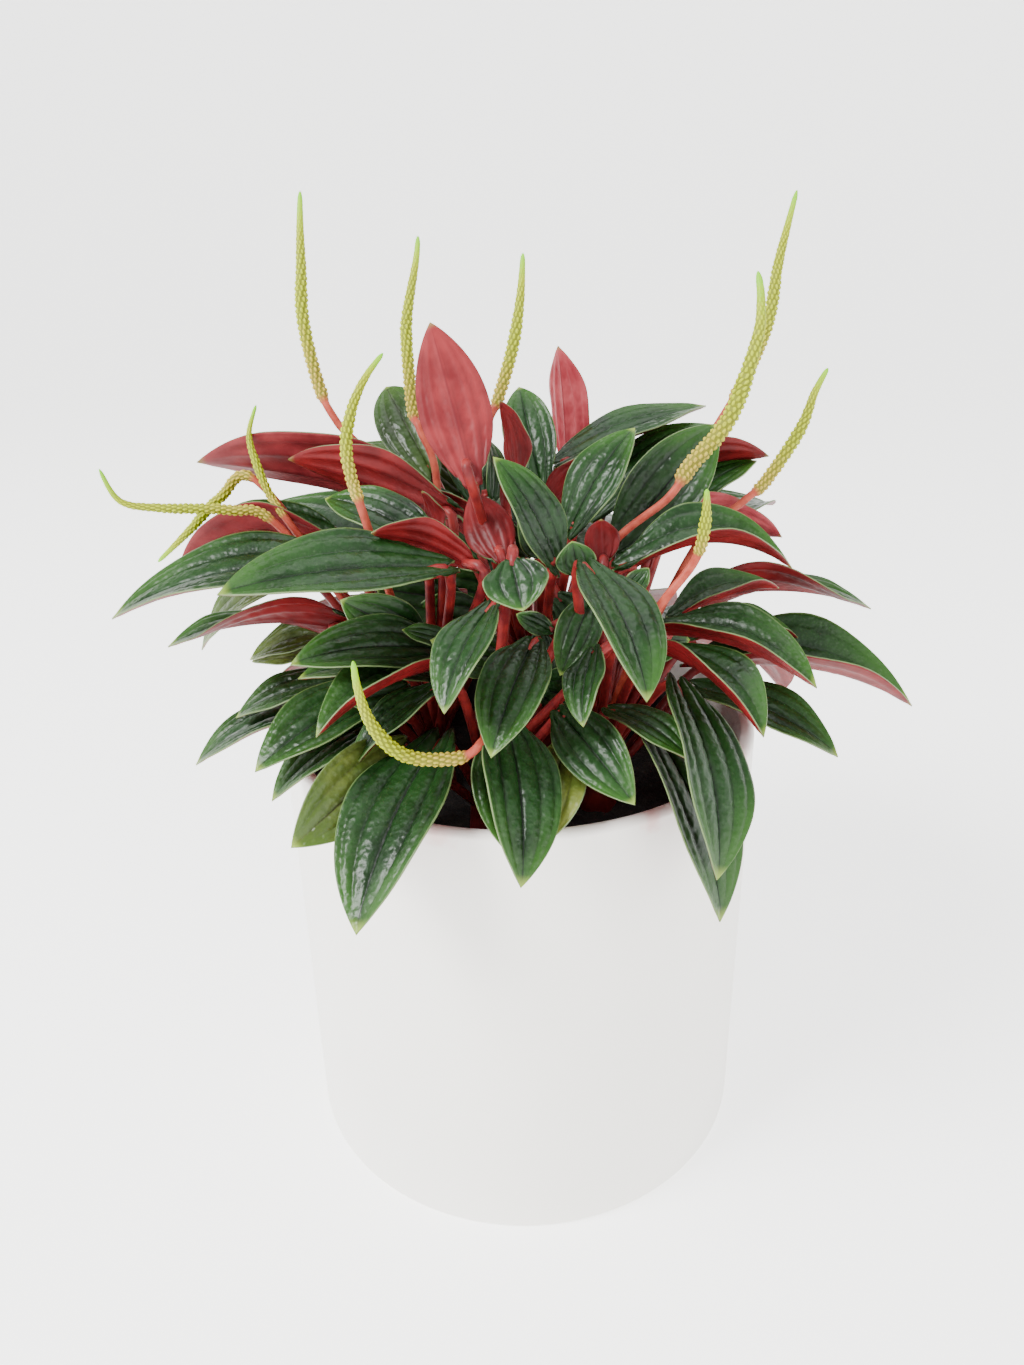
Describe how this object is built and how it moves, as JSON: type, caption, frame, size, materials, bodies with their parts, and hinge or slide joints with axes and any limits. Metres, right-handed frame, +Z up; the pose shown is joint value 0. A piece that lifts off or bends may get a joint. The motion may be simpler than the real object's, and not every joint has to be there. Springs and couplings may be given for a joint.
{
  "type": "potted plant",
  "caption": "Ripple peperomia houseplant with crinkled leaves and slender flower spikes in a straight white cachepot.",
  "frame": {"origin": "centre of the pot's flat underside", "axes": "+Z up along the pot's axis, -Y towards the side the picture shows"},
  "size_m": [0.2298, 0.207, 0.281],
  "materials": {
    "pot": "satin white glaze",
    "nursery_pot": "matte black",
    "soil": "loose dark potting soil",
    "leaves": "glossy crinkled leaf"
  },
  "bodies": {
    "root": {"pot": "pot", "nursery_pot": "nursery_pot", "soil": "soil", "crown_left": "leaves", "crown_front": "leaves", "crown_right": "leaves", "crown_back": "leaves"}
  },
  "joints": []
}
